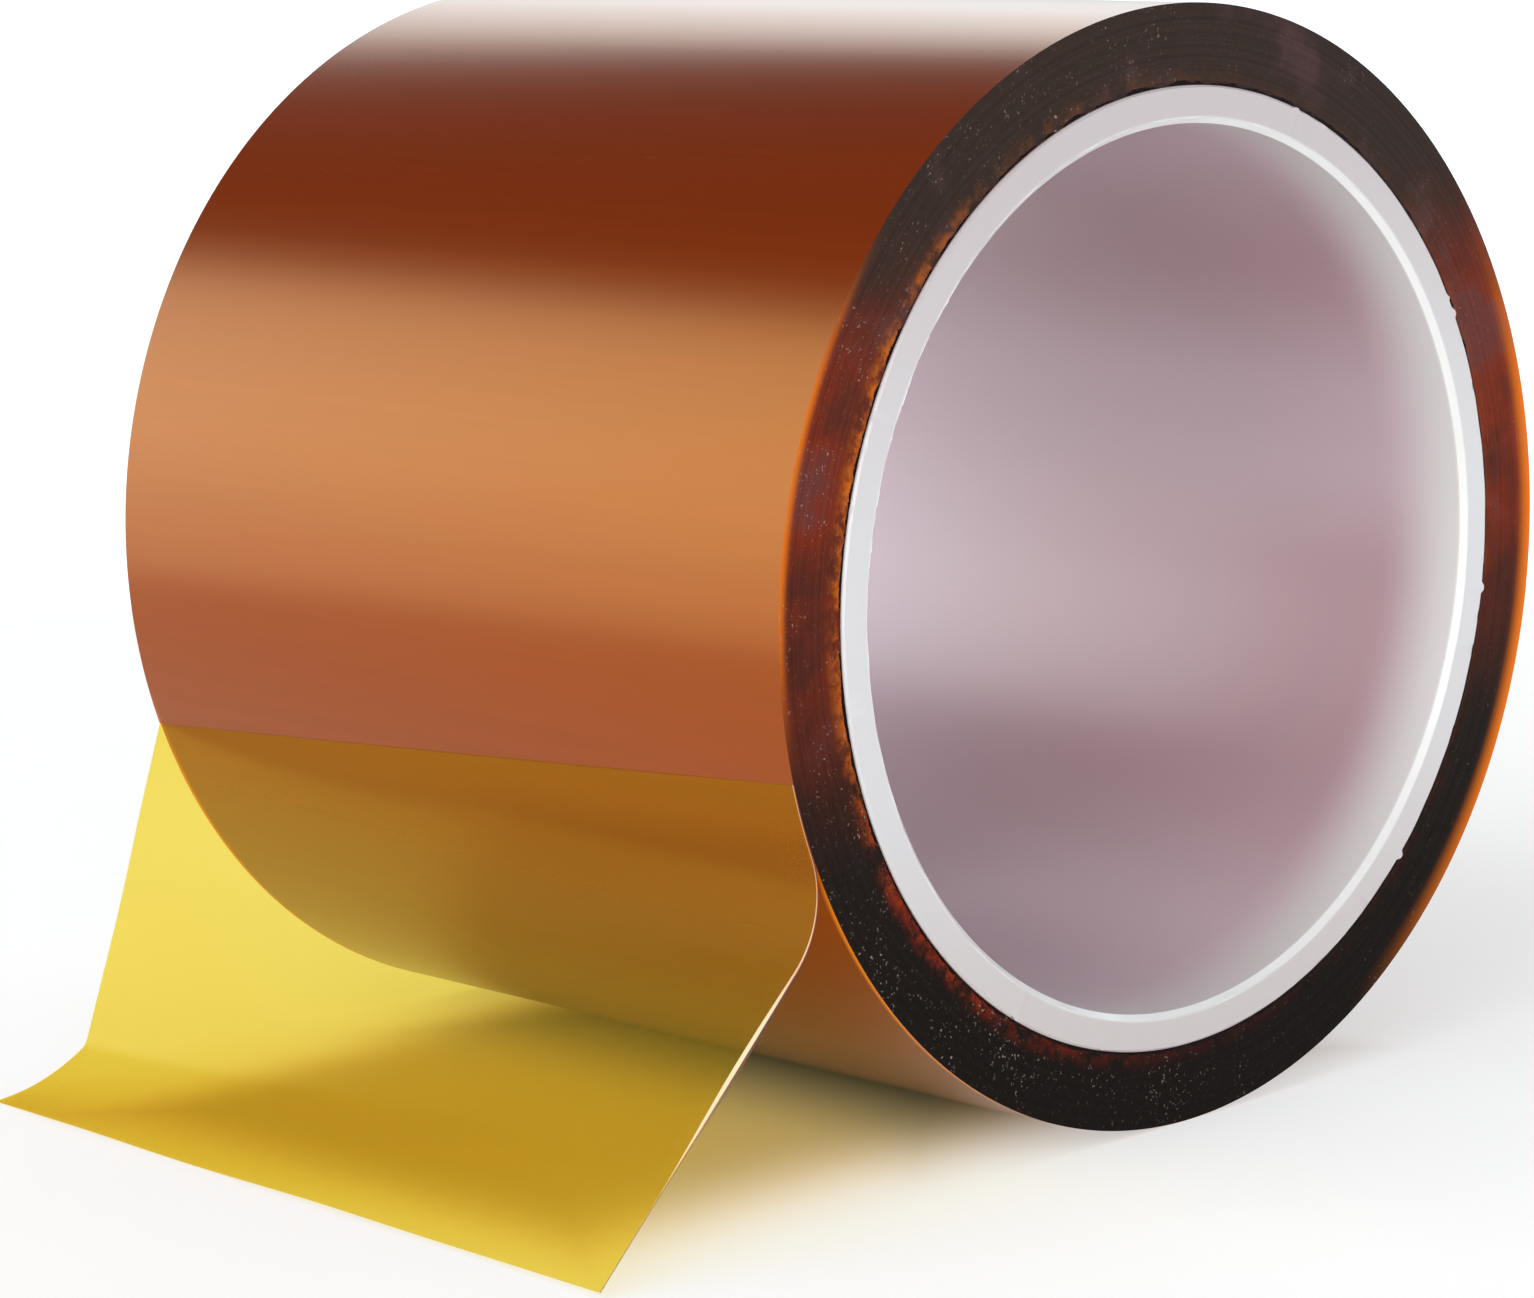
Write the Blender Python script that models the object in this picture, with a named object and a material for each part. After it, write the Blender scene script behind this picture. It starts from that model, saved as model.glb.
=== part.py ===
"""Roll of amber polyimide film tape on a 3 inch plastic core, its free end peeled off at the front.

Metres, +Z up. X runs along the roll's axis and the free end comes off towards -Y. The roll lies on
its side on z = 0, and the origin is on that surface, below the middle of the whole object's box.
"""

import math

import bmesh
import bpy
from mathutils import Vector

# The tape, and the roll that its length makes
TAPE_WIDTH = 0.085
TAPE_LENGTH = 33.0
TAPE_THICKNESS = 0.00006  # 25 micron film and 35 micron adhesive
CORE_DIAMETER = 0.083
ROLL_RADIUS = math.sqrt(CORE_DIAMETER**2 / 4 + TAPE_LENGTH * TAPE_THICKNESS / math.pi)

# The core
CORE_BORE = 0.0766
CORE_PROUD = 0.0003  # how far it stands out of the wound tape at each end
BORE_CHAMFER = 0.0006
RIM_CHAMFER = 0.0002

# How the solids are faceted and kept apart
GAP = 0.0003
SIDES = 72
ROWS_ALONG = 22
STRIPS_ACROSS = 6

# The free end is a strip between a left and a right edge curve. Angles are in degrees: a peel angle
# is measured round the roll, down from its front, and a heading is above the horizontal, forwards.
LEFT_PEEL = 20.0
LEFT_HEADING = -71.0
LEFT_STRAIGHT = 0.0274
LEFT_BEND = (0.0074, 61.0)  # radius and turn, where the film meets the table
LEFT_TIP_HEIGHT = 0.00015

RIGHT_PEEL = 13.2
RIGHT_FOLLOWS = 7.6  # turned back by this much, still close to the roll
RIGHT_BEND = (0.0085, 66.7)
RIGHT_TIP_HEIGHT = 0.0006

FLAT_RADIUS = ROLL_RADIUS * math.cos(math.pi / SIDES)  # from the axis to the middle of a facet


def clear_scene():
    for old in list(bpy.data.objects):
        bpy.data.objects.remove(old)


def plastic(name, colour, roughness, alpha=1.0):
    """A Principled material for one sub-part."""
    material = bpy.data.materials.new(name)
    material.use_nodes = True
    shader = material.node_tree.nodes["Principled BSDF"]
    shader.inputs["Base Color"].default_value = (*colour, 1.0)
    shader.inputs["Roughness"].default_value = roughness
    shader.inputs["Metallic"].default_value = 0.0
    shader.inputs["Alpha"].default_value = alpha
    return material


def add_object(name, bm, material, location):
    """Links a smooth-shaded object whose edges over 30 degrees stay sharp."""
    mesh = bpy.data.meshes.new(name)
    bmesh.ops.recalc_face_normals(bm, faces=bm.faces)
    bm.to_mesh(mesh)
    bm.free()
    mesh.shade_smooth()
    mesh.set_sharp_from_angle(angle=math.radians(30))
    mesh.materials.append(material)
    obj = bpy.data.objects.new(name, mesh)
    obj.location = location
    bpy.context.scene.collection.objects.link(obj)
    return obj


def turned_ring(name, profile, material, location):
    """A ring round X from a closed profile of (x, radius), with the middle of a facet at the bottom."""
    bm = bmesh.new()
    rows = []
    for side in range(SIDES):
        angle = 2 * math.pi * (side + 0.5) / SIDES
        across, up = math.sin(angle), -math.cos(angle)
        rows.append([bm.verts.new((x, r * across, r * up)) for x, r in profile])
    for row, after in zip(rows, rows[1:] + rows[:1]):
        for i in range(len(profile)):
            j = (i + 1) % len(profile)
            bm.faces.new((row[i], row[j], after[j], after[i]))
    return add_object(name, bm, material, location)


def add_core(location):
    """A plain tube, with its bore's mouths chamfered wider than its outer corners."""
    half = TAPE_WIDTH / 2 + CORE_PROUD
    inner = CORE_BORE / 2
    outer = CORE_DIAMETER / 2 - GAP
    profile = [
        (-half + BORE_CHAMFER, inner),
        (-half, inner + BORE_CHAMFER),
        (-half, outer - RIM_CHAMFER),
        (-half + RIM_CHAMFER, outer),
        (half - RIM_CHAMFER, outer),
        (half, outer - RIM_CHAMFER),
        (half, inner + BORE_CHAMFER),
        (half - BORE_CHAMFER, inner),
    ]
    material = plastic("core_plastic", (0.80, 0.78, 0.79), 0.45)
    return turned_ring("core", profile, material, location)


def add_wound_tape(location):
    """All the turns of tape that are still on the core, as one tight ring."""
    half = TAPE_WIDTH / 2
    inner = CORE_DIAMETER / 2
    profile = [(-half, inner), (-half, ROLL_RADIUS), (half, ROLL_RADIUS), (half, inner)]
    material = plastic("wound_tape", (0.30, 0.09, 0.02), 0.25)
    return turned_ring("wound_tape", profile, material, location)


def peel_point(degrees):
    """(forward, up) of the film's middle where it leaves the roll, from the roll's axis."""
    reach = ROLL_RADIUS + GAP + TAPE_THICKNESS / 2
    angle = math.radians(degrees)
    return Vector((reach * math.cos(angle), -reach * math.sin(angle)))


def arc_leg(radius, degrees):
    """A leg is its length and the turn that it makes, in radians, upwards positive."""
    turn = math.radians(degrees)
    return (radius * abs(turn), turn)


def walk(start, heading, legs, distance):
    """Where a curve of straight and round legs has got to, and its heading, after a distance."""
    point = start.copy()
    for length, turn in legs:
        step = min(distance, length)
        swing = turn * step / length
        chord = step if swing == 0 else step * math.sin(swing / 2) / (swing / 2)
        middle = heading + swing / 2
        point += chord * Vector((math.cos(middle), math.sin(middle)))
        heading += swing
        distance -= step
    return point, heading


def edge_curve(peel, heading, legs, tip_height):
    """Points (forward, up) along one edge, equally spaced, its last leg running straight to the tip."""
    start = peel_point(peel)
    bend_end, last_heading = walk(start, heading, legs, sum(length for length, turn in legs))
    drop = bend_end.y - (tip_height - FLAT_RADIUS)
    legs = legs + [(drop / math.sin(-last_heading), 0.0)]
    total = sum(length for length, turn in legs)
    return [walk(start, heading, legs, total * i / ROWS_ALONG)[0] for i in range(ROWS_ALONG + 1)]


def left_edge():
    """Leaves the roll at a sharp angle, hangs straight, and turns out along the table."""
    legs = [(LEFT_STRAIGHT, 0.0), arc_leg(*LEFT_BEND)]
    return edge_curve(LEFT_PEEL, math.radians(LEFT_HEADING), legs, LEFT_TIP_HEIGHT)


def right_edge():
    """Follows the roll a little further, then swings out straight to the table."""
    heading = -math.radians(90 + RIGHT_PEEL)
    follow = arc_leg(ROLL_RADIUS + GAP + TAPE_THICKNESS / 2, -RIGHT_FOLLOWS)
    legs = [follow, arc_leg(*RIGHT_BEND)]
    return edge_curve(RIGHT_PEEL, heading, legs, RIGHT_TIP_HEIGHT)


def add_tape_tail(left, right, axis_place):
    """The film strip between the two edge curves, with its origin on the peel line."""
    origin_forward, origin_up = (left[0] + right[0]) / 2
    bm = bmesh.new()
    rows = []
    for left_point, right_point in zip(left, right):
        row = []
        for strip in range(STRIPS_ACROSS + 1):
            share = strip / STRIPS_ACROSS
            forward, up = left_point.lerp(right_point, share)
            x = TAPE_WIDTH * (share - 0.5)
            row.append(bm.verts.new((x, origin_forward - forward, up - origin_up)))
        rows.append(row)
    for row, after in zip(rows, rows[1:]):
        for i in range(STRIPS_ACROSS):
            bm.faces.new((row[i], row[i + 1], after[i + 1], after[i]))
    location = axis_place + Vector((0, -origin_forward, origin_up))
    material = plastic("clear_film", (0.78, 0.60, 0.03), 0.15, alpha=0.6)
    tail = add_object("tape_tail", bm, material, location)
    skin = tail.modifiers.new("film_thickness", "SOLIDIFY")
    skin.thickness = TAPE_THICKNESS
    skin.offset = 0.0
    return tail


def main():
    clear_scene()
    left, right = left_edge(), right_edge()
    front_reach = max(left[-1].x, right[-1].x)
    axis_place = Vector((0, (front_reach - FLAT_RADIUS) / 2, FLAT_RADIUS))
    add_core(axis_place)
    add_wound_tape(axis_place)
    add_tape_tail(left, right, axis_place)


main()
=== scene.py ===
"""Looks for the roll of amber film tape: the core, the wound tape and the film of the free end.

Metres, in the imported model's frame: X runs along the roll's axis, the free end comes off towards -Y,
and z = 0 is the surface that the roll lies on.
"""

import math
import random
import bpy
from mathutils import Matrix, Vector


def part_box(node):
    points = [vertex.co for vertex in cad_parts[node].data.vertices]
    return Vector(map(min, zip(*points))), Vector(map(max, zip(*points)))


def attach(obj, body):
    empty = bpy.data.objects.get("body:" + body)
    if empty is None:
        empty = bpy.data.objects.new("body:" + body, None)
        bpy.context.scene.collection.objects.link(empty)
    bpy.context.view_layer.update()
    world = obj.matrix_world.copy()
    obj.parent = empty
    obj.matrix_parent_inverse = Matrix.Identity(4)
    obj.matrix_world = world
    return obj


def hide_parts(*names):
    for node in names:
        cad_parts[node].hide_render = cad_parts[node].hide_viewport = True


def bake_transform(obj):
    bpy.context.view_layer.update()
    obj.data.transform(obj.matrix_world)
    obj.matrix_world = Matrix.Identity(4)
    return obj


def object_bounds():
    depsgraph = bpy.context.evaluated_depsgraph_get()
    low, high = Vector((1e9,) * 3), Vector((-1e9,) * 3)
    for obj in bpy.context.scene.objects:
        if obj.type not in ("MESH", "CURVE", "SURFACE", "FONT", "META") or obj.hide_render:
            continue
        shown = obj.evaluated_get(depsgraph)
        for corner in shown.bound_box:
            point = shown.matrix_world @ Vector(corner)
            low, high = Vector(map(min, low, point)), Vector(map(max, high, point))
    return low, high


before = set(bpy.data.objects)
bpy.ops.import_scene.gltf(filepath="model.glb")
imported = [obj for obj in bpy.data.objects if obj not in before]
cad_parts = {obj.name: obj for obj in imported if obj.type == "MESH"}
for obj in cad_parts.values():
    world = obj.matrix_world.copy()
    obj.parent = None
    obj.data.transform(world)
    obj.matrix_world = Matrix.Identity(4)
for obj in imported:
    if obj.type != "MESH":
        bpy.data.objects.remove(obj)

from types import SimpleNamespace

import bmesh
import bpy
from mathutils import Matrix, Vector

cad_low, cad_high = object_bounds()
tape_low, tape_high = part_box("wound_tape")
core_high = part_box("core")[1]

# The roll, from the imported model
AXIS = Vector((0.0, (tape_low.y + tape_high.y) / 2, (tape_low.z + tape_high.z) / 2))
HALF_WIDTH = tape_high.x
ROLL_RADIUS = (tape_high.z - tape_low.z) / 2
CORE_HALF = core_high.x
CORE_RADIUS = 0.0415
BORE_RADIUS = 0.0383

# The film, and the step that one turn of it makes round the roll
FILM = 0.00006
STEP = 0.00009
SEAM = math.radians(0.08)  # how far round the step's own wall slopes
CORE_TO_TAPE = 0.00005
LAYER_RELIEF = 0.00002  # how far the turns' cut edges stand out or back

# The core's ends: a chamfer in the bore's mouths, a small one outside, and burrs left by the saw
MOUTH_CHAMFER = 0.0005
OUTER_CHAMFER = 0.00018
BURRS = 34
BURR_SIZES = (-0.00030, 0.00028)
BURR_REACH = 0.008  # radians to each side of its middle
BURR_PROUD = 0.6  # how far a burr stands out of the end, as a share of its size
RIM_WAVES = [(0.00002, 23, 0.0), (0.000015, 57, 1.0)]  # size, number round the rim, start
ROUGH_CUT = (0.1, 0.9)  # where the saw left the mouth's edge ragged, in radians from the front, upwards
ROUGH_SIZE, SMOOTH_SIZE = 0.00006, 0.00001

# The free end's two edges, close to the CAD part's. A peel angle is measured round the roll, down from
# its front, and a heading is above the horizontal, forwards, in degrees.
LEFT_PEEL = 20.0
LEFT_HEADING = -70.7
LEFT_STRAIGHT = 0.0296
LEFT_BENDS = [(0.0018, 40.0), (0.020, 25.0)]  # a crease on the table, then a long flat curve
LEFT_TIP_HEIGHT = 0.00015
RIGHT_PEEL = 13.2
RIGHT_FOLLOWS = 7.6  # turned back by this much, still close to the roll
RIGHT_CLEARANCE = 0.0003
RIGHT_BEND = (0.0085, 66.7)
RIGHT_TIP_HEIGHT = 0.0006

# The right edge of the film curls up a little where it swings out to the table. Along its slit edge run a
# painted highlight and, outside it, a painted shade line: each width is (everywhere, added where the edge
# curls).
CURL_WIDTH = 0.0020
CURL_LIFT = 0.0003
CURLS_FROM, CURLS_TO = 0.22, 0.86  # shares of the edge's length
PAINTED_HIGHLIGHT_LINE = (0.00012, 0.00030)
PAINTED_SHADE_LINE = (0.00005, 0.00018)
HIGHLIGHT_NARROWS = (0.55, 0.80)  # shares of the edge's length
HIGHLIGHT_SHARE = 0.3  # of the painted highlight's first width, beyond there
EDGE_SLOTS = (2, 1, 1)  # material slots of the mesh's strips from the edge in: painted shade, then painted highlight twice
WAVES = [(0.00009, 9.0, 5.0), (0.00006, 17.0, -11.0)]  # size, radians across, radians down the film
LOOSE_FROM = 0.3  # the share of its length after which the film is free to wave

# Camera: seen from the roll's axis, an aim point and a direction, in degrees
AIM = AXIS + Vector((0, -0.00874, -0.01012))
CAMERA_DISTANCE = 0.458
CAMERA_AZIMUTH = 46.02
CAMERA_ELEVATION = 10.02
CAMERA_ROLL = -1.383
CAMERA_LENS = 118.43
SENSOR = 36.0

# Studio light, as radiances far away: a long bank of light in front whose top edge runs along X, a
# cooler wall of light behind, and a small softbox overhead, with the ceiling between them dark. Each
# pair is where the light starts and ends its change: sines of the elevation, where nothing else is said.
BANK_SLOPE = math.radians(56)  # its top edge, above the horizon as seen along X
BANK_LIGHT = 3.5
BANK_EDGE = (-0.12, 0.08)  # measured up across its top edge
BANK_DIMS = (-0.36, -0.05)  # measured up across its top edge
BANK_TOP_SHARE = 0.78  # of its light, above there
BANK_FOOT = (-0.22, 0.22)
WALL_LIGHT = (2.05, 2.25, 2.35)
WALL_TOP = (0.47, 0.57)
WALL_SIDES = (0.0, 0.35)  # how far a direction points towards +Y
WALL_FOOT = (0.05, 0.30)
FOOT_SHARE = 0.55  # of the bank's and the wall's light, at their feet
SOFTBOX_EDGE = (0.83, 0.89)
SOFTBOX_LIGHT = 0.7
CEILING_LIGHT = 0.05

# The table glows from inside, a painted light: golden and dimmer where the film covers it, as light through
# the film, white elsewhere, and not at all where the roll stands, a painted contact shadow. Each limit of
# the cover is (covered, uncovered).
FLOOR_RADIUS = 0.28
GLOW_COVERED, GLOW_OPEN = 0.18, 0.50
COVER_LEFT = (-0.022, -0.040)
COVER_RIGHT = (0.016, 0.042)
COVER_FRONT = (0.020, 0.0)  # back from the front of the object's box
COVER_BACK = (0.004, 0.034)  # behind the roll's axis
CONTACT = (0.006, 0.034)  # (no glow, full glow), from the line that the roll stands on: a painted contact shadow


# ---------------------------------------------------------------- shader nodes


def node(tree, kind, settings=None, inputs=None):
    """Adds a shader node. Each input is a number, a colour, or the output that feeds it."""
    made = tree.nodes.new("ShaderNode" + kind)
    for name, value in (settings or {}).items():
        setattr(made, name, value)
    for name, value in (inputs or {}).items():
        if isinstance(value, bpy.types.NodeSocket):
            tree.links.new(value, made.inputs[name])
        else:
            made.inputs[name].default_value = value
    return made


def math_node(tree, operation, first, second=0.0):
    return node(tree, "Math", {"operation": operation}, {0: first, 1: second}).outputs[0]


def product(tree, first, *others):
    for other in others:
        first = math_node(tree, "MULTIPLY", first, other)
    return first


def largest(tree, first, *others):
    for other in others:
        first = math_node(tree, "MAXIMUM", first, other)
    return first


def vector_node(tree, operation, first, second=(0.0, 0.0, 0.0)):
    """A VectorMath node's outputs: Vector, and Value for a length or a dot product."""
    return node(tree, "VectorMath", {"operation": operation}, {0: first, 1: second}).outputs


def map_range(tree, value, low, high, to_low=0.0, to_high=1.0):
    """A smooth step between two results, from a value of low to one of high, which may be the smaller."""
    inputs = {"Value": value, "From Min": low, "From Max": high, "To Min": to_low, "To Max": to_high}
    return node(tree, "MapRange", {"interpolation_type": "SMOOTHSTEP"}, inputs).outputs["Result"]


def mix_colour(tree, share, first, second, blend="MIX"):
    """Two colours mixed. Each is an output or a (red, green, blue)."""
    made = node(tree, "Mix", {"data_type": "RGBA", "blend_type": blend})
    factor, colour_a, colour_b = 0, 6, 7
    for index, value in ((factor, share), (colour_a, first), (colour_b, second)):
        if isinstance(value, bpy.types.NodeSocket):
            tree.links.new(value, made.inputs[index])
        else:
            made.inputs[index].default_value = (*value, 1.0) if hasattr(value, "__len__") else value
    return made.outputs[2]


def noise(tree, vector, scale, detail=2.0, roughness=0.5):
    inputs = {"Vector": vector, "Scale": scale, "Detail": detail, "Roughness": roughness}
    return node(tree, "TexNoise", inputs=inputs).outputs["Fac"]


def stretched_noise(tree, vector, scales, detail):
    """Noise whose scale differs along X, Y and Z."""
    return noise(tree, vector_node(tree, "MULTIPLY", vector, scales)["Vector"], 1.0, detail)


def bump(tree, height, strength, distance, normal=None):
    """A bump's normal, on top of another bump's where one is given."""
    inputs = {"Height": height, "Strength": strength, "Distance": distance}
    if normal is not None:
        inputs["Normal"] = normal
    return node(tree, "Bump", inputs=inputs).outputs["Normal"]


def principled(tree, **inputs):
    """A Principled shader's output; an underscore in a name stands for a space."""
    named = {name.replace("_", " "): value for name, value in inputs.items()}
    return node(tree, "BsdfPrincipled", inputs=named).outputs["BSDF"]


def new_material(name):
    """An empty node material, its tree and its output node."""
    material = bpy.data.materials.new(name)
    material.use_nodes = True
    tree = material.node_tree
    tree.nodes.clear()
    return material, tree, node(tree, "OutputMaterial")


def place_on_roll(tree):
    """Where the shaded point is, measured from the roll's axis. Height and behind are shares of the
    roll's radius, and the rest is in metres."""
    position = node(tree, "TexCoord").outputs["Object"]
    point = vector_node(tree, "SUBTRACT", position, AXIS)["Vector"]
    x, back, up = node(tree, "SeparateXYZ", inputs={0: point}).outputs
    across = node(tree, "CombineXYZ", inputs={"Y": back, "Z": up}).outputs[0]
    return SimpleNamespace(
        point=point,
        x=x,
        from_middle=math_node(tree, "ABSOLUTE", x),
        back=back,
        radius=vector_node(tree, "LENGTH", across)["Value"],
        height=math_node(tree, "DIVIDE", up, ROLL_RADIUS),
        behind=math_node(tree, "DIVIDE", back, ROLL_RADIUS),
    )


# ---------------------------------------------------------------- the wound tape's materials


def roll_surface_material():
    """Many turns of clear amber film: a deep red-brown body under a tinted, satin reflection."""
    material, tree, out = new_material("amber_roll_surface")
    place = place_on_roll(tree)
    # painted light: the body is lighter lower down
    low = map_range(tree, place.height, 0.45, -0.15)
    colour = mix_colour(tree, low, (0.108, 0.0130, 0.0014), (0.155, 0.0175, 0.0010))
    # painted shade: darker again on the underside
    under = map_range(tree, place.height, -0.25, -0.95)
    colour = mix_colour(tree, under, colour, (0.085, 0.0090, 0.0006))
    # painted glow: an orange line of light through the turns along the roll's ends, low down
    from_end = math_node(tree, "SUBTRACT", HALF_WIDTH, place.from_middle)
    rim = map_range(tree, from_end, 0.0, 0.0007, 1.0, 0.0)
    rim = product(tree, rim, map_range(tree, place.height, -0.25, -0.50))
    colour = mix_colour(tree, rim, colour, (0.60, 0.17, 0.004))
    streaks = stretched_noise(tree, place.point, (9.0, 700.0, 700.0), 3.0)
    streaks = map_range(tree, streaks, 0.2, 0.8, 0.96, 1.04)
    colour = mix_colour(tree, 1.0, colour, streaks, "MULTIPLY")
    ripple = stretched_noise(tree, place.point, (6.0, 260.0, 260.0), 2.0)
    shader = principled(
        tree,
        Base_Color=colour,
        Roughness=0.21,
        IOR=2.0,
        Specular_IOR_Level=0.46,
        Specular_Tint=(1.0, 0.47, 0.06, 1.0),
        Normal=bump(tree, ripple, 0.03, 0.0003),
    )
    tree.links.new(shader, out.inputs["Surface"])
    return material


def cut_end_body(tree, place, at_side, rings):
    """The cut ends' colour: nearly black and lighter towards the top, with painted red light through the
    turns at the sides, and a grey veil here and there.
    """
    broad = noise(tree, place.point, 95.0, 3.0, 0.55)
    upwards = map_range(tree, place.height, -0.9, 0.8)
    colour = mix_colour(tree, upwards, (0.0055, 0.0034, 0.0024), (0.026, 0.016, 0.012))
    # painted light: red light through the turns at the sides
    painted_red_glow = product(tree, at_side, map_range(tree, broad, 0.30, 0.60, 0.25, 1.0))
    colour = mix_colour(tree, painted_red_glow, colour, (0.165, 0.018, 0.004))
    veil = product(tree, map_range(tree, broad, 0.50, 0.64), map_range(tree, place.height, -0.4, 0.3), 0.55)
    colour = mix_colour(tree, veil, colour, (0.070, 0.034, 0.034))
    layer = map_range(tree, rings, 0.35, 0.65)
    layers = mix_colour(tree, layer, (0.80, 0.80, 0.80), (1.20, 1.15, 1.15))
    return mix_colour(tree, 0.8, colour, layers, "MULTIPLY")


def add_inner_glow(tree, place, colour, from_core, mottle, fine):
    """Light through the innermost turns, in mottled patches: orange in front and red lower down."""
    near_core = map_range(tree, from_core, 0.0003, 0.0021, 1.0, 0.0)
    patches = product(tree, map_range(tree, mottle, 0.36, 0.60), map_range(tree, fine, 0.2, 0.6))
    in_front = map_range(tree, place.behind, 0.45, -0.55, 0.10, 1.0)
    below_top = map_range(tree, place.height, 0.80, 0.40, 0.15, 1.0)
    upper = map_range(tree, place.height, -0.55, 0.1)
    glow_colour = mix_colour(tree, upper, (0.22, 0.018, 0.002), (0.46, 0.105, 0.006))
    lowest = map_range(tree, place.height, -0.60, -0.92)
    glow_colour = mix_colour(tree, lowest, glow_colour, (0.050, 0.005, 0.002))
    return mix_colour(tree, product(tree, near_core, patches, in_front, below_top), colour, glow_colour)


def add_outer_glow(tree, place, colour, at_side):
    """Light through the outermost turns: a thin orange line in front, and a wider one at the back."""
    depth = math_node(tree, "SUBTRACT", ROLL_RADIUS, place.radius)
    front = product(
        tree,
        map_range(tree, depth, 0.0, 0.0010, 1.0, 0.0),
        at_side,
        map_range(tree, place.behind, -0.6, -0.9, 0.0, 0.85),
        map_range(tree, place.height, -0.25, 0.05),
    )
    back = product(
        tree,
        map_range(tree, depth, 0.0, 0.0022, 1.0, 0.0),
        map_range(tree, place.behind, 0.45, 0.98),
        map_range(tree, place.height, 0.60, 0.15),
    )
    return mix_colour(tree, math_node(tree, "ADD", front, back), colour, (0.66, 0.145, 0.006))


def add_dust(tree, place, colour):
    """Fine grey specks in clusters, more of them in front."""
    specks = map_range(tree, noise(tree, place.point, 3400.0), 0.64, 0.74)
    clusters = map_range(tree, noise(tree, place.point, 190.0), 0.46, 0.64, 0.15, 1.0)
    in_front = map_range(tree, place.behind, 0.4, -0.4, 0.25, 1.0)
    return mix_colour(tree, product(tree, specks, clusters, in_front, 0.75), colour, (0.34, 0.25, 0.21))


def cut_end_material():
    """The cut edges of the turns: nearly black, glowing amber where light gets through at a rim."""
    material, tree, out = new_material("amber_cut_ends")
    place = place_on_roll(tree)
    from_core = math_node(tree, "SUBTRACT", place.radius, CORE_RADIUS)
    fine = noise(tree, place.point, 1500.0, 3.0, 0.65)
    mottle = noise(tree, place.point, 480.0, 4.0, 0.65)
    rings = noise(tree, node(tree, "CombineXYZ", inputs={"X": place.radius}).outputs[0], 2600.0)
    at_side = product(
        tree,
        map_range(tree, math_node(tree, "ABSOLUTE", place.behind), 0.45, 0.95),
        map_range(tree, place.height, -0.42, 0.15),
        map_range(tree, place.height, 0.72, 0.38),
    )
    colour = cut_end_body(tree, place, at_side, rings)
    colour = add_inner_glow(tree, place, colour, from_core, mottle, fine)
    colour = add_outer_glow(tree, place, colour, at_side)
    colour = add_dust(tree, place, colour)
    # painted shade: a dark line of varying width in the gap between the core and the first turn
    painted_gap_shade_width = map_range(tree, mottle, 0.3, 0.7, 0.00005, 0.00045)
    painted_gap_shade = math_node(tree, "LESS_THAN", from_core, painted_gap_shade_width)
    colour = mix_colour(tree, painted_gap_shade, colour, (0.006, 0.002, 0.002))
    layers = bump(tree, rings, 0.3, 0.0001)
    shader = principled(
        tree,
        Base_Color=colour,
        Roughness=0.42,
        IOR=1.45,
        Specular_IOR_Level=0.05,
        Normal=bump(tree, fine, 0.3, 0.0001, layers),
    )
    tree.links.new(shader, out.inputs["Surface"])
    return material


# ---------------------------------------------------------------- the core's material


def bore_wall_colour(tree, place):
    """The bore's wall deep inside: mauve grey, with painted shade behind and far in, and a painted band of
    light above the middle."""
    behind = math_node(tree, "DIVIDE", place.back, BORE_RADIUS)
    cloudy = noise(tree, place.point, 60.0, 3.0)
    colour = mix_colour(tree, cloudy, (0.54, 0.495, 0.530), (0.575, 0.530, 0.565))
    # painted shade: darker and pinker towards the back
    colour = mix_colour(tree, map_range(tree, behind, -0.8, 0.5), colour, (0.50, 0.375, 0.415))
    colour = mix_colour(tree, map_range(tree, behind, 0.3, 0.9), colour, (0.345, 0.215, 0.240))
    # painted shade: darker far in
    painted_shade_far_in = map_range(tree, place.x, 0.005, -0.036)
    colour = mix_colour(tree, painted_shade_far_in, colour, (0.385, 0.290, 0.330))
    # painted light: a band of reflected light above the middle
    above_middle = map_range(tree, place.height, -0.15, 0.1)
    band = product(tree, above_middle, map_range(tree, place.height, 0.5, 0.2), 0.7)
    return mix_colour(tree, band, colour, (0.48, 0.370, 0.410))


def core_rim_colour(tree, place):
    """The core's flat ends, with painted shade: lightest just below the middle, and darkest at the top."""
    upwards = map_range(tree, place.height, -0.8, -0.2)
    colour = mix_colour(tree, upwards, (0.485, 0.435, 0.430), (0.55, 0.535, 0.545))
    return mix_colour(tree, map_range(tree, place.height, 0.0, 0.8), colour, (0.425, 0.370, 0.375))


def core_material():
    """Frosted white plastic: light gets in at the mouths and dims to a mauve grey deep inside."""
    material, tree, out = new_material("frosted_core")
    place = place_on_roll(tree)
    from_mouth = math_node(tree, "SUBTRACT", CORE_HALF, place.from_middle)
    deep = map_range(tree, from_mouth, 0.0, 0.010)
    colour = mix_colour(tree, deep, (0.565, 0.550, 0.545), bore_wall_colour(tree, place))
    # painted highlight: a lighter line on the mouth's chamfer
    chamfer = map_range(tree, from_mouth, MOUTH_CHAMFER, MOUTH_CHAMFER + 0.0003, 1.0, 0.0)
    colour = mix_colour(tree, chamfer, colour, (0.66, 0.655, 0.65))
    on_rim = map_range(tree, place.radius, BORE_RADIUS + 0.0004, BORE_RADIUS + 0.0007)
    colour = mix_colour(tree, on_rim, colour, core_rim_colour(tree, place))
    frost = noise(tree, place.point, 2400.0, 3.0)
    shader = principled(
        tree,
        Base_Color=colour,
        Roughness=0.30,
        IOR=1.6,
        Specular_IOR_Level=0.6,
        Normal=bump(tree, frost, 0.08, 0.00005),
    )
    tree.links.new(shader, out.inputs["Surface"])
    return material


# ---------------------------------------------------------------- the free end's materials


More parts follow.
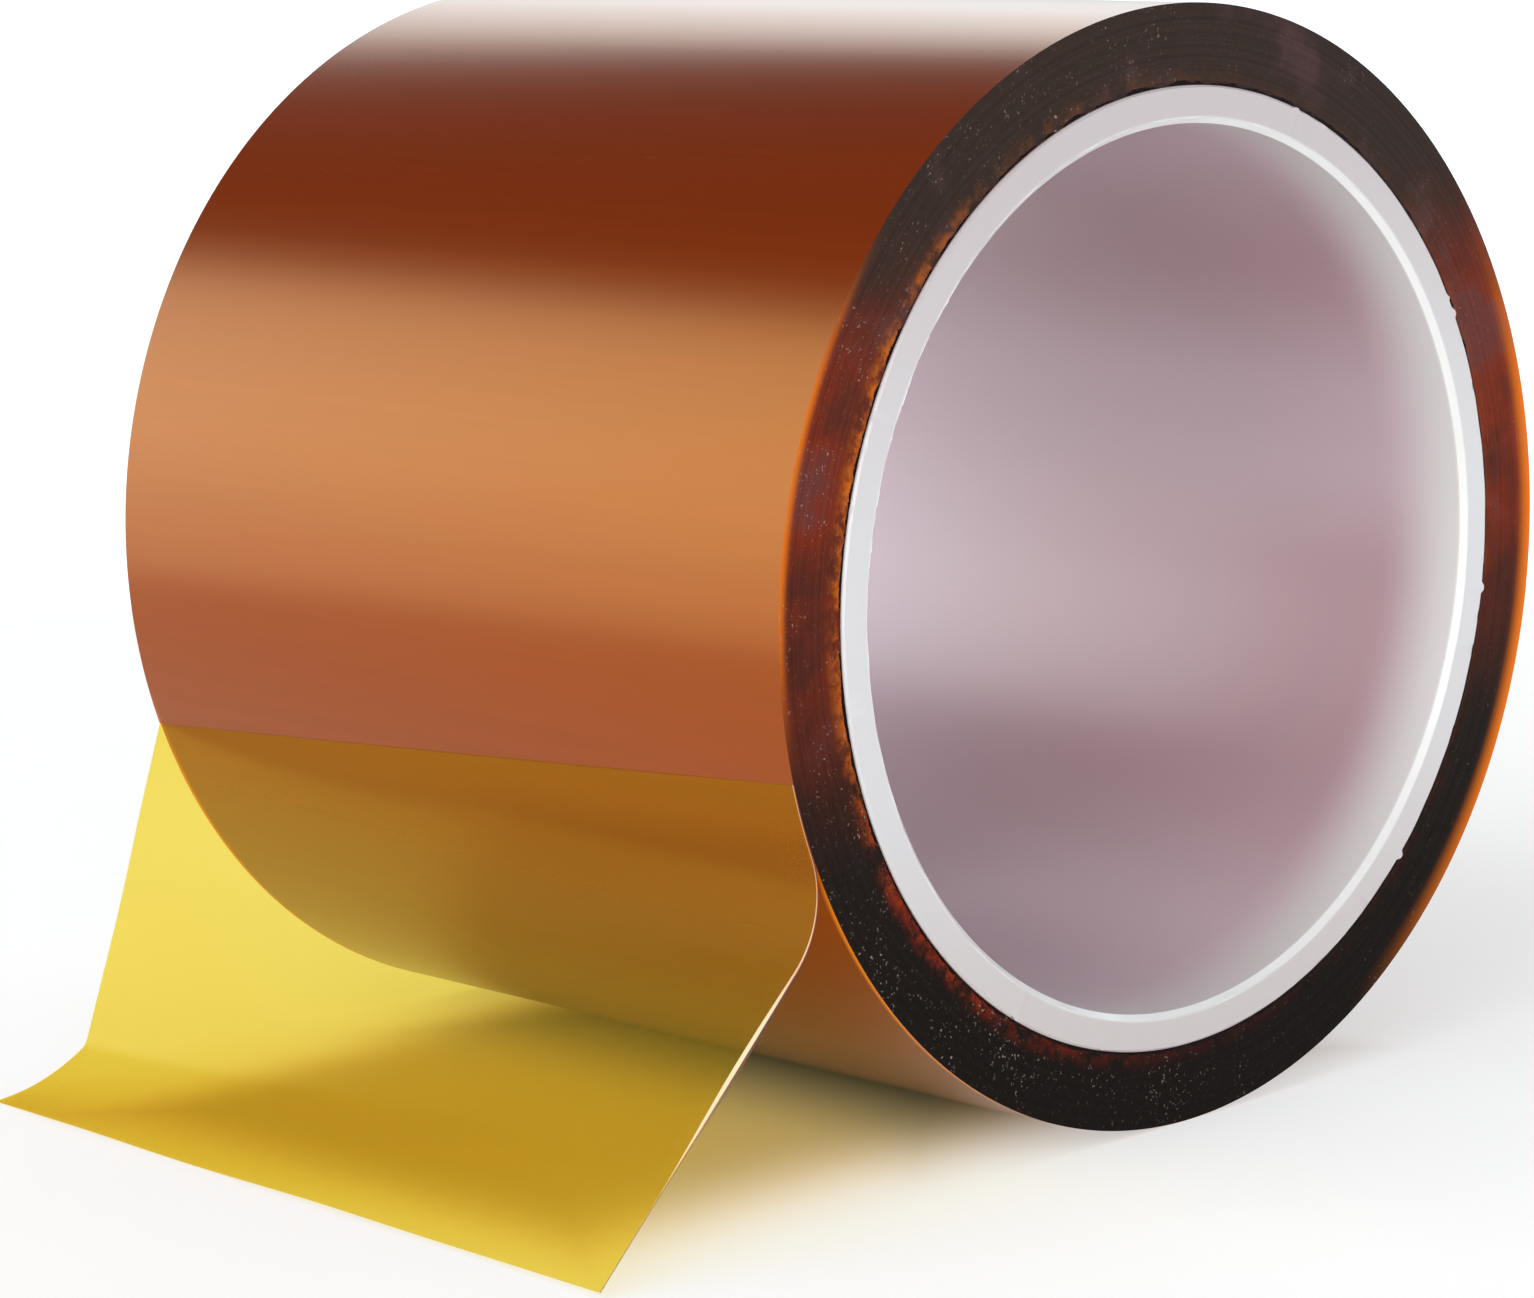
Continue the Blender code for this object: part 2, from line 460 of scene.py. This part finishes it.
def film_material():
    """One clear amber film: tinted by the length that light passes in it, with a faint satin haze."""
    material, tree, out = new_material("clear_amber_film")
    clear = node(tree, "BsdfTransparent", inputs={"Color": (1.0, 1.0, 0.80, 1.0)}).outputs[0]
    haze = principled(
        tree,
        Base_Color=(0.82, 0.60, 0.10, 1.0),
        Roughness=0.35,
        IOR=1.5,
        Specular_IOR_Level=0.15,
    )
    facing = node(tree, "LayerWeight", inputs={"Blend": 0.5}).outputs["Facing"]
    edge_gloss = product(tree, math_node(tree, "POWER", facing, 5.0), 0.05)
    share = math_node(tree, "ADD", edge_gloss, 0.055)
    surface = node(tree, "MixShader", inputs={0: share, 1: clear, 2: haze})
    tree.links.new(surface.outputs[0], out.inputs["Surface"])
    absorption = {"Color": (0.905, 0.790, 0.0, 1.0), "Density": 17500.0}
    body = node(tree, "VolumeAbsorption", inputs=absorption)
    tree.links.new(body.outputs[0], out.inputs["Volume"])
    return material


def film_edge_highlight_material():
    """The painted highlight along the film's right edge: orange on the roll, and golden near the tip."""
    material, tree, out = new_material("film_edge_painted_highlight")
    radius = place_on_roll(tree).radius
    off_roll = map_range(tree, radius, ROLL_RADIUS, ROLL_RADIUS + 0.011)
    colour = mix_colour(tree, off_roll, (0.42, 0.17, 0.05), (0.72, 0.50, 0.30))
    far_out = map_range(tree, radius, ROLL_RADIUS + 0.020, ROLL_RADIUS + 0.028)
    colour = mix_colour(tree, far_out, colour, (0.50, 0.34, 0.07))
    tree.links.new(principled(tree, Base_Color=colour, Roughness=0.35, IOR=1.6), out.inputs["Surface"])
    return material


def film_shadow_material():
    """The painted shade line outside the painted highlight."""
    material, tree, out = new_material("film_edge_painted_shade")
    radius = place_on_roll(tree).radius
    far_out = map_range(tree, radius, ROLL_RADIUS + 0.011, ROLL_RADIUS + 0.026)
    colour = mix_colour(tree, far_out, (0.075, 0.016, 0.012), (0.30, 0.18, 0.05))
    tree.links.new(principled(tree, Base_Color=colour, Roughness=0.6, IOR=1.5), out.inputs["Surface"])
    return material


# ---------------------------------------------------------------- meshes


def finish_mesh(name, bm, materials, sharp=40.0):
    """Links a smooth-shaded object made from a bmesh, in world coordinates."""
    mesh = bpy.data.meshes.new(name)
    bmesh.ops.recalc_face_normals(bm, faces=bm.faces)
    bm.to_mesh(mesh)
    bm.free()
    mesh.shade_smooth()
    mesh.set_sharp_from_angle(angle=math.radians(sharp))
    for material in materials:
        mesh.materials.append(material)
    obj = bpy.data.objects.new(name, mesh)
    bpy.context.scene.collection.objects.link(obj)
    return obj


def bridge(bm, loops):
    """Quads between neighbouring closed loops of vertices, and from the last back to the first."""
    faces = []
    for loop, after in zip(loops, loops[1:] + loops[:1]):
        for i in range(len(loop)):
            j = (i + 1) % len(loop)
            faces.append(bm.faces.new((loop[i], loop[j], after[j], after[i])))
    return faces


def round_axis(x, radius, turn):
    """A place at a turn round the roll's axis, in radians from its front, upwards."""
    return AXIS + Vector((x, -radius * math.cos(turn), radius * math.sin(turn)))


def peel_angle(x):
    """How far down from the roll's front the film leaves it, in radians, at a place along the axis."""
    share = (x + HALF_WIDTH) / (2 * HALF_WIDTH)
    return math.radians(LEFT_PEEL + (RIGHT_PEEL - LEFT_PEEL) * share)


def make_wound_tape():
    """The turns still on the core: a tight spiral, one step of film high at the peel line."""
    columns, lengthwise, rows = 360, 48, 36
    bm = bmesh.new()
    inner = CORE_RADIUS + CORE_TO_TAPE
    rng = random.Random(4)
    relief = [rng.uniform(-LAYER_RELIEF, LAYER_RELIEF) for row in range(rows + 1)]
    loops = []
    for column in range(columns + 1):
        share = column / columns
        outer = ROLL_RADIUS - STEP * share
        profile = []
        for i in range(lengthwise + 1):
            profile.append((-HALF_WIDTH + 2 * HALF_WIDTH * i / lengthwise, outer))
        for j in range(rows - 1, -1, -1):
            profile.append((HALF_WIDTH + relief[j], inner + (outer - inner) * j / rows))
        for j in range(0, rows):
            profile.append((-HALF_WIDTH - relief[j], inner + (outer - inner) * j / rows))
        loop = []
        for x, radius in profile:
            turn = (2 * math.pi - SEAM) * share - peel_angle(max(-HALF_WIDTH, min(HALF_WIDTH, x)))
            loop.append(bm.verts.new(round_axis(x, radius, turn)))
        loops.append(loop)
    for face in bridge(bm, loops):
        middle = face.calc_center_median() - AXIS
        at_end = abs(middle.x) > HALF_WIDTH - 2 * LAYER_RELIEF and middle.yz.length < ROLL_RADIUS - STEP
        face.material_index = 1 if at_end else 0
    tape = finish_mesh("wound_film", bm, [roll_surface_material(), cut_end_material()], sharp=30.0)
    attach(tape, "roll")
    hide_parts("wound_tape")


def core_profile(lengths):
    """The core's (x, radius) points, from its outer corner at one end round to that at the other."""
    inside = CORE_HALF - MOUTH_CHAMFER
    rim = [(CORE_HALF - OUTER_CHAMFER, CORE_RADIUS), (CORE_HALF, CORE_RADIUS - OUTER_CHAMFER)]
    rim += [(CORE_HALF, BORE_RADIUS + MOUTH_CHAMFER), (inside, BORE_RADIUS)]
    bore = [(inside - 2 * inside * i / lengths, BORE_RADIUS) for i in range(1, lengths)]
    return rim + bore + [(-x, radius) for x, radius in reversed(rim)]


def make_core():
    """A plain tube with chamfered mouths, its sawn rims a little uneven, with a few burrs."""
    columns, lengths = 720, 24
    rng = random.Random(7)
    burrs = [(rng.uniform(0, 2 * math.pi), rng.uniform(*BURR_SIZES)) for burr in range(BURRS)]
    profile = core_profile(lengths)
    last = len(profile) - 1
    outer_edges, mouth_edges = (1, last - 1), (2, last - 2)
    bm = bmesh.new()
    loops = []
    for column in range(columns):
        turn = 2 * math.pi * column / columns
        uneven = sum(size * math.sin(number * turn + start) for size, number, start in RIM_WAVES)
        burr = sum(size for place, size in burrs if abs(turn - place) < BURR_REACH)
        rough = ROUGH_SIZE if ROUGH_CUT[0] < turn < ROUGH_CUT[1] else SMOOTH_SIZE
        ragged = rough * rng.uniform(-1, 1)
        loop = []
        for i, (x, radius) in enumerate(profile):
            if i in outer_edges:
                radius += uneven + burr
                x += math.copysign(BURR_PROUD * max(0.0, burr), x)
            if i in mouth_edges:
                radius += 2 * uneven + ragged
            loop.append(bm.verts.new(round_axis(x, radius, turn)))
        loops.append(loop)
    bridge(bm, loops)
    core = finish_mesh("core_tube", bm, [core_material()], sharp=25.0)
    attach(core, "roll")
    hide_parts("core")


# ---------------------------------------------------------------- the free end's shape


def film_start(degrees):
    """(forward, up) of the film's middle where it leaves the roll, from the roll's axis."""
    reach = ROLL_RADIUS - FILM / 2
    angle = math.radians(degrees)
    return Vector((reach * math.cos(angle), -reach * math.sin(angle)))


def arc_leg(radius, degrees):
    """A leg is its length and the turn that it makes, in radians, upwards positive."""
    turn = math.radians(degrees)
    return (radius * abs(turn), turn)


def walk(start, heading, legs, distance):
    """Where a curve of straight and round legs has got to, and its heading, after a distance."""
    point = start.copy()
    for length, turn in legs:
        step = min(distance, length)
        swing = turn * step / length
        chord = step if swing == 0 else step * math.sin(swing / 2) / (swing / 2)
        middle = heading + swing / 2
        point += chord * Vector((math.cos(middle), math.sin(middle)))
        heading += swing
        distance -= step
    return point, heading


def edge_curve(peel, heading, legs, tip_height, rows):
    """Equally spaced points (forward, up) along one edge, whose last leg runs straight to the tip, and
    the edge's length."""
    start = film_start(peel)
    bend_end, last_heading = walk(start, heading, legs, sum(length for length, turn in legs))
    drop = bend_end.y - (tip_height - AXIS.z)
    legs = legs + [(drop / math.sin(-last_heading), 0.0)]
    total = sum(length for length, turn in legs)
    return [walk(start, heading, legs, total * i / rows)[0] for i in range(rows + 1)], total


def left_edge(rows):
    """Leaves the roll at a sharp angle, hangs straight, and turns out along the table."""
    legs = [(LEFT_STRAIGHT, 0.0)] + [arc_leg(*bend) for bend in LEFT_BENDS]
    return edge_curve(LEFT_PEEL, math.radians(LEFT_HEADING), legs, LEFT_TIP_HEIGHT, rows)


def right_edge(rows):
    """Follows the roll a little further, then swings out straight to the table."""
    heading = -math.radians(90 + RIGHT_PEEL)
    legs = [arc_leg(ROLL_RADIUS + RIGHT_CLEARANCE, -RIGHT_FOLLOWS), arc_leg(*RIGHT_BEND)]
    return edge_curve(RIGHT_PEEL, heading, legs, RIGHT_TIP_HEIGHT, rows)


def hump(value, low, high):
    """0 outside low..high, rising smoothly to 1 in the middle."""
    if not low < value < high:
        return 0.0
    return math.sin(math.pi * (value - low) / (high - low)) ** 2


def film_relief(down, share):
    """How far the film stands off its ruled surface: faint waves, and a curl along its right edge."""
    loose = min(1.0, down / LOOSE_FROM) ** 2
    waves = sum(size * math.sin(across * share + along * down) for size, across, along in WAVES)
    from_edge = 2 * HALF_WIDTH * (1 - share)
    curl = max(0.0, 1 - from_edge / CURL_WIDTH) ** 2
    lift = CURL_LIFT * hump(down, CURLS_FROM, CURLS_TO)
    return loose * waves * (1 - share**8) + curl * lift


def film_shares(down):
    """Where the lengthwise lines of the film's mesh run across it, 0 to 1, at a share of its length."""
    flat_strips, curl_strips = 60, 12
    width = 2 * HALF_WIDTH
    curled = hump(down, CURLS_FROM, CURLS_TO)
    # the painted shade line and the painted highlight along the right edge get strips of their own, wider
    # where it curls
    dark = (PAINTED_SHADE_LINE[0] + PAINTED_SHADE_LINE[1] * curled) / width
    first, last = HIGHLIGHT_NARROWS
    narrowed = min(1.0, max(0.0, (down - first) / (last - first)))
    bright = PAINTED_HIGHLIGHT_LINE[0] * (1 - (1 - HIGHLIGHT_SHARE) * narrowed) + PAINTED_HIGHLIGHT_LINE[1] * curled
    bright = bright / width
    curl = CURL_WIDTH / width
    flat = [(1 - curl) * i / flat_strips for i in range(flat_strips)]
    curving = [1 - curl + (curl - bright - dark) * i / curl_strips for i in range(curl_strips)]
    return flat + curving + [1 - bright - dark, 1 - bright / 2 - dark, 1 - dark, 1.0]


def grid_normals(grid):
    """The unit normal at each point of a grid of rows, on the side away from the roll."""
    last_row, last_strip = len(grid) - 1, len(grid[0]) - 1
    normals = []
    for row in range(last_row + 1):
        line = []
        for strip in range(last_strip + 1):
            along = grid[min(row + 1, last_row)][strip] - grid[max(row - 1, 0)][strip]
            across = grid[row][min(strip + 1, last_strip)] - grid[row][max(strip - 1, 0)]
            line.append(across.cross(along).normalized())
        normals.append(line)
    return normals


def moved(grid, normals, distance):
    """A grid's points moved along their normals by distance(row, strip)."""
    rows = range(len(grid))
    strips = range(len(grid[0]))
    return [[grid[r][s] + distance(r, s) * normals[r][s] for s in strips] for r in rows]


def film_surface(rows):
    """The film's middle surface, as a grid of points, and its mean length."""
    left, left_length = left_edge(rows)
    right, right_length = right_edge(rows)
    shares = [film_shares(row / rows) for row in range(rows + 1)]
    ruled = []
    for left_point, right_point, line_shares in zip(left, right, shares):
        line = []
        for share in line_shares:
            forward, up = left_point.lerp(right_point, share)
            line.append(AXIS + Vector((HALF_WIDTH * (2 * share - 1), -forward, up)))
        ruled.append(line)
    middle = moved(ruled, grid_normals(ruled), lambda r, s: film_relief(r / rows, shares[r][s]))
    return middle, (left_length + right_length) / 2


def film_skin(middle):
    """A closed skin, one film thick, round the middle surface. Its last strips are the edge lines."""
    rows, strips = len(middle) - 1, len(middle[0]) - 1
    normals = grid_normals(middle)
    bm = bmesh.new()
    sheets = []
    for side in (FILM / 2, -FILM / 2):
        places = moved(middle, normals, lambda r, s: side)
        sheets.append([[bm.verts.new(place) for place in line] for line in places])
    top, under = sheets
    faces = []
    for row in range(rows):
        upper, lower = (top[row], top[row + 1]), (under[row], under[row + 1])
        for s in range(strips):
            above = bm.faces.new((upper[0][s], upper[1][s], upper[1][s + 1], upper[0][s + 1]))
            below = bm.faces.new((lower[0][s], lower[0][s + 1], lower[1][s + 1], lower[1][s]))
            faces += [(above, s), (below, s)]
    rim = [(0, s) for s in range(strips)] + [(row, strips) for row in range(rows)]
    rim += [(rows, s) for s in range(strips, 0, -1)] + [(row, 0) for row in range(rows, 0, -1)]
    for (row, s), (next_row, next_s) in zip(rim, rim[1:] + rim[:1]):
        side = bm.faces.new((top[row][s], top[next_row][next_s], under[next_row][next_s], under[row][s]))
        faces.append((side, min(s, next_s)))
    for face, s in faces:
        from_edge = max(0, strips - 1 - s)
        face.material_index = EDGE_SLOTS[from_edge] if from_edge < len(EDGE_SLOTS) else 0
    return bm


def make_film():
    """The free end: a strip between its two edges, with the film's own thickness."""
    rows, row_below_bend = 140, 8
    middle, length = film_surface(rows)
    materials = [film_material(), film_edge_highlight_material(), film_shadow_material()]
    film = finish_mesh("free_end_film", film_skin(middle), materials, sharp=60.0)
    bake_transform(film)
    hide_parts("tape_tail")


# ---------------------------------------------------------------- studio


def floor_material():
    """A matt table that glows from inside, standing in for the light that comes through the film, with a
    painted contact shadow where the roll stands.
    """
    material, tree, out = new_material("studio_floor")
    position = node(tree, "TexCoord").outputs["Object"]
    colour = mix_colour(tree, noise(tree, position, 40.0), (0.44, 0.44, 0.44), (0.46, 0.46, 0.46))
    axes = node(tree, "SeparateXYZ", inputs={0: position}).outputs
    behind_axis = math_node(tree, "SUBTRACT", axes["Y"], AXIS.y)
    from_front = math_node(tree, "SUBTRACT", axes["Y"], cad_low.y)
    beside = largest(tree, map_range(tree, axes["X"], *COVER_LEFT), map_range(tree, axes["X"], *COVER_RIGHT))
    in_front = map_range(tree, from_front, *COVER_FRONT)
    uncovered = largest(tree, beside, in_front, map_range(tree, behind_axis, *COVER_BACK))
    from_contact = math_node(tree, "ABSOLUTE", behind_axis)
    # painted contact shadow: no glow along the line that the roll stands on, except beside the roll
    outside_contact_shadow = largest(tree, beside, map_range(tree, from_contact, *CONTACT))
    glow = map_range(tree, uncovered, 0.0, 1.0, GLOW_COVERED, GLOW_OPEN)
    shader = principled(
        tree,
        Base_Color=colour,
        Roughness=0.9,
        Specular_IOR_Level=0.0,
        Emission_Color=mix_colour(tree, uncovered, (1.0, 0.47, 0.03), (1.0, 1.0, 1.0)),
        Emission_Strength=product(tree, glow, outside_contact_shadow),
    )
    tree.links.new(shader, out.inputs["Surface"])
    return material


def make_floor():
    bm = bmesh.new()
    bmesh.ops.create_circle(bm, cap_ends=True, segments=96, radius=FLOOR_RADIUS)
    floor = finish_mesh("studio_floor", bm, [floor_material()])


def make_lights():
    """The studio as a world: a bank of light in front, a wall behind, and a softbox overhead."""
    world = bpy.data.worlds.new("studio")
    bpy.context.scene.world = world
    world.use_nodes = True
    tree = world.node_tree
    tree.nodes.clear()
    direction = node(tree, "TexCoord").outputs["Generated"]
    axes = node(tree, "SeparateXYZ", inputs={0: direction}).outputs
    y, z = axes["Y"], axes["Z"]
    across_edge = (0.0, math.sin(BANK_SLOPE), math.cos(BANK_SLOPE))
    above_edge = vector_node(tree, "DOT_PRODUCT", direction, across_edge)["Value"]
    bank = product(
        tree,
        map_range(tree, above_edge, *BANK_EDGE, 1.0, 0.0),
        map_range(tree, above_edge, *BANK_DIMS, BANK_LIGHT, BANK_TOP_SHARE * BANK_LIGHT),
        map_range(tree, z, *BANK_FOOT, FOOT_SHARE, 1.0),
    )
    in_wall = product(
        tree,
        map_range(tree, z, *WALL_TOP, 1.0, 0.0),
        map_range(tree, y, *WALL_SIDES),
        map_range(tree, z, *WALL_FOOT, FOOT_SHARE, 1.0),
    )
    wall = mix_colour(tree, in_wall, (0.0, 0.0, 0.0), WALL_LIGHT)
    overhead = map_range(tree, z, *SOFTBOX_EDGE, CEILING_LIGHT, SOFTBOX_LIGHT)
    total = mix_colour(tree, 1.0, bank, wall, "ADD")
    total = mix_colour(tree, 1.0, total, overhead, "ADD")
    background = node(tree, "Background", inputs={"Color": total, "Strength": 1.0})
    out = node(tree, "OutputWorld")
    tree.links.new(background.outputs[0], out.inputs["Surface"])


def make_camera():
    azimuth, elevation, roll = (math.radians(a) for a in (CAMERA_AZIMUTH, CAMERA_ELEVATION, CAMERA_ROLL))
    level = math.cos(elevation)
    back = Vector((math.sin(azimuth) * level, -math.cos(azimuth) * level, math.sin(elevation)))
    level_right = Vector((math.cos(azimuth), math.sin(azimuth), 0))
    level_up = back.cross(level_right)
    right = math.cos(roll) * level_right + math.sin(roll) * level_up
    up = back.cross(right)
    data = bpy.data.cameras.new("camera")
    data.sensor_width = SENSOR
    data.lens = CAMERA_LENS
    data.clip_start, data.clip_end = 0.01, 50
    camera = bpy.data.objects.new("camera", data)
    turn = Matrix((right, up, back)).transposed().to_4x4()
    camera.matrix_world = Matrix.Translation(AIM + CAMERA_DISTANCE * back) @ turn
    bpy.context.scene.collection.objects.link(camera)
    bpy.context.scene.camera = camera


def main():
    bpy.context.scene.view_settings.view_transform = "Standard"
    make_camera()
    make_floor()
    make_lights()
    make_core()
    make_wound_tape()
    make_film()


main()
